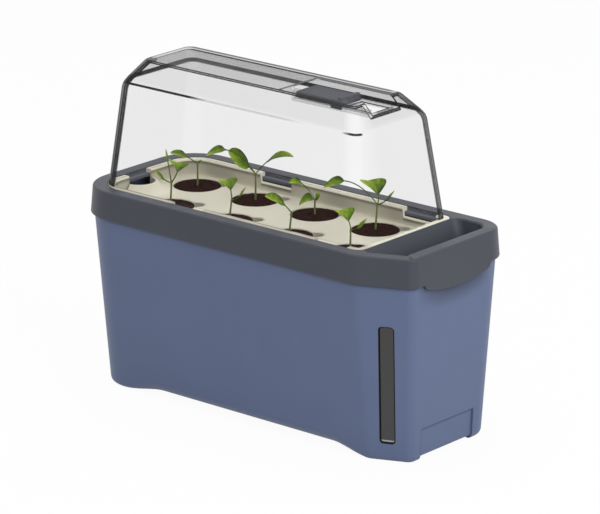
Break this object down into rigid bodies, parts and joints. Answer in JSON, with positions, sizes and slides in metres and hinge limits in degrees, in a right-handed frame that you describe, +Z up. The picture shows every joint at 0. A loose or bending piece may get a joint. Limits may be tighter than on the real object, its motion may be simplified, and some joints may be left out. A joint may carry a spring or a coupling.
{
  "type": "windowsill herb planter",
  "caption": "Self-watering windowsill herb planter: drafted water tub with level window, lift-off frame with side trough, cell tray with seedlings, clear hood with sliding vent.",
  "frame": {"origin": "on the ground under the middle of the part's box", "axes": "+X along the length towards the trough end, +Y to the back, away from the window facet, +Z up"},
  "size_m": [0.384, 0.1624, 0.3061],
  "materials": {
    "tub_blue": "fine satin moulded polypropylene",
    "window_smoke": "smoked translucent, semi-gloss",
    "gasket_black": "matt",
    "frame_grey": "fine satin moulded polypropylene",
    "tray_cream": "smooth satin",
    "hood_clear": "clear, polished",
    "slider_grey": "satin",
    "plug_coir": "moist fibrous coir",
    "seedling_green": "young leaf, soft sheen",
    "wick_felt": "felt"
  },
  "bodies": {
    "base": {"tub": "tub_blue", "level_window": "window_smoke", "window_gasket": "gasket_black"},
    "upper_frame": {"frame": "frame_grey"},
    "planting_tray": {"tray": "tray_cream", "wick_1": "wick_felt", "wick_2": "wick_felt", "wick_3": "wick_felt", "wick_4": "wick_felt", "wick_5": "wick_felt", "wick_6": "wick_felt", "wick_7": "wick_felt", "wick_8": "wick_felt"},
    "clear_hood": {"hood": "hood_clear"},
    "vent_shutter": {"vent_slider": "slider_grey"},
    "plant_1": {"plug_1": "plug_coir", "seedling_1": "seedling_green"},
    "plant_2": {"plug_2": "plug_coir", "seedling_2": "seedling_green"},
    "plant_3": {"plug_3": "plug_coir", "seedling_3": "seedling_green"},
    "plant_4": {"plug_4": "plug_coir", "seedling_4": "seedling_green"},
    "plant_5": {"plug_5": "plug_coir", "seedling_5": "seedling_green"},
    "plant_6": {"plug_6": "plug_coir", "seedling_6": "seedling_green"},
    "plant_7": {"plug_7": "plug_coir", "seedling_7": "seedling_green"},
    "plant_8": {"plug_8": "plug_coir", "seedling_8": "seedling_green"}
  },
  "joints": [
    {"name": "frame_lift", "type": "slide", "parent": "base", "child": "upper_frame", "axis": [0, 0, 1], "range_m": [0, 0.09]},
    {"name": "tray_lift", "type": "slide", "parent": "upper_frame", "child": "planting_tray", "axis": [0, 0, 1], "range_m": [0, 0.09]},
    {"name": "hood_lift", "type": "slide", "parent": "planting_tray", "child": "clear_hood", "axis": [0, 0, 1], "range_m": [0, 0.14]},
    {"name": "vent_slide", "type": "slide", "parent": "clear_hood", "child": "vent_shutter", "axis": [1, 0, 0], "range_m": [0, 0.0375]},
    {"name": "plant_1_lift", "type": "slide", "parent": "planting_tray", "child": "plant_1", "axis": [0, 0, 1], "range_m": [0, 0.04]},
    {"name": "plant_2_lift", "type": "slide", "parent": "planting_tray", "child": "plant_2", "axis": [0, 0, 1], "range_m": [0, 0.04]},
    {"name": "plant_3_lift", "type": "slide", "parent": "planting_tray", "child": "plant_3", "axis": [0, 0, 1], "range_m": [0, 0.04]},
    {"name": "plant_4_lift", "type": "slide", "parent": "planting_tray", "child": "plant_4", "axis": [0, 0, 1], "range_m": [0, 0.04]},
    {"name": "plant_5_lift", "type": "slide", "parent": "planting_tray", "child": "plant_5", "axis": [0, 0, 1], "range_m": [0, 0.04]},
    {"name": "plant_6_lift", "type": "slide", "parent": "planting_tray", "child": "plant_6", "axis": [0, 0, 1], "range_m": [0, 0.04]},
    {"name": "plant_7_lift", "type": "slide", "parent": "planting_tray", "child": "plant_7", "axis": [0, 0, 1], "range_m": [0, 0.04]},
    {"name": "plant_8_lift", "type": "slide", "parent": "planting_tray", "child": "plant_8", "axis": [0, 0, 1], "range_m": [0, 0.04]}
  ]
}
